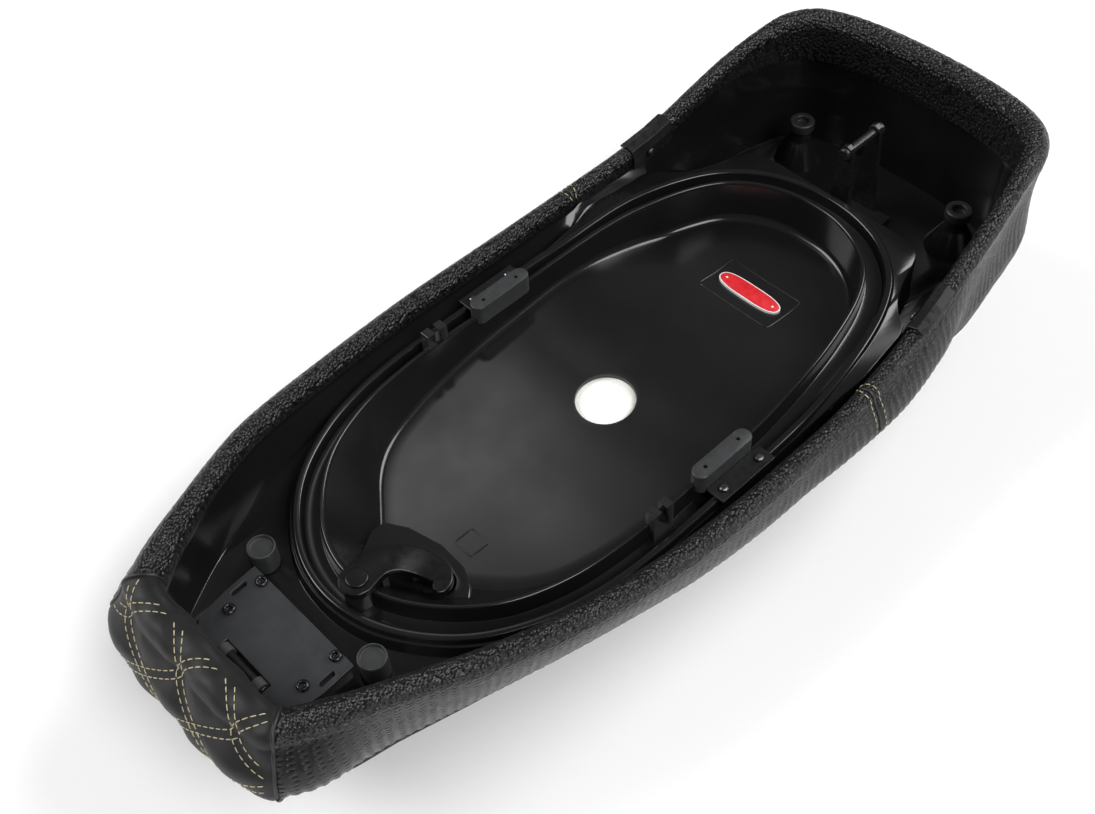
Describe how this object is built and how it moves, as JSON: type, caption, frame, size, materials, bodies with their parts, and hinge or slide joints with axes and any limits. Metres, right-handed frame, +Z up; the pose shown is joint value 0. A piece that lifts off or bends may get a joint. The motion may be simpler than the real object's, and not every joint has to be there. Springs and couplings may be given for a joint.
{
  "type": "scooter dual saddle",
  "caption": "Two-person scooter saddle lying upside down: upholstered cushion over a moulded base with hinge plate, rubber stops, lock striker and a swinging bag hook.",
  "frame": {"origin": "middle of the bounding box at its lowest level, the surface that the upturned saddle lies on", "axes": "+Y from the nose to the tail, +Z up as it lies, which is down in use, and +X across; a seated rider faces -Y"},
  "size_m": [0.2812, 0.6503, 0.1596],
  "materials": {
    "base_plastic": "semi-gloss moulded black",
    "soft_foam": "matt open foam",
    "quilted_vinyl": "smooth matt vinyl, quilted",
    "grained_vinyl": "embossed vinyl, low sheen",
    "plate_steel": "satin black",
    "bright_steel": "zinc plated",
    "black_rubber": "matt",
    "badge_red": "gloss",
    "hook_steel": "satin black"
  },
  "bodies": {
    "saddle": {"seat_base": "base_plastic", "foam_cushion": "soft_foam", "cover_nose_panel": "quilted_vinyl", "cover_rider_top": "quilted_vinyl", "cover_pillion_top": "quilted_vinyl", "cover_side_left": "grained_vinyl", "cover_side_right": "grained_vinyl", "cover_tail_panel": "grained_vinyl", "rim_clip_left": "plate_steel", "rim_clip_right": "plate_steel", "clip_screw_left": "bright_steel", "clip_screw_right": "bright_steel", "hinge_plate": "plate_steel", "plate_screw_rear_left": "bright_steel", "plate_screw_front_left": "bright_steel", "plate_screw_rear_right": "bright_steel", "plate_screw_front_right": "bright_steel", "hinge_pin": "bright_steel", "hinge_bush_left": "black_rubber", "hinge_bush_right": "black_rubber", "front_bumper_left": "black_rubber", "front_bumper_right": "black_rubber", "rear_bumper_left": "black_rubber", "rear_bumper_right": "black_rubber", "hook_pin": "hook_steel", "striker_bracket": "plate_steel", "striker_rod": "bright_steel", "striker_bolt_left": "bright_steel", "striker_bolt_right": "bright_steel", "side_pad_left": "black_rubber", "side_pad_right": "black_rubber", "pad_bracket_left": "plate_steel", "pad_bracket_right": "plate_steel", "bracket_screw_front_left": "bright_steel", "bracket_screw_rear_left": "bright_steel", "bracket_screw_front_right": "bright_steel", "bracket_screw_rear_right": "bright_steel", "badge": "badge_red"},
    "hook": {"swing_hook": "hook_steel"}
  },
  "joints": [
    {"name": "hook_swing", "type": "hinge", "parent": "saddle", "child": "hook", "pos_m": [0.0095, -0.20715, 0.09513], "axis": [0, 0, 1], "range_deg": [0, 55]}
  ]
}
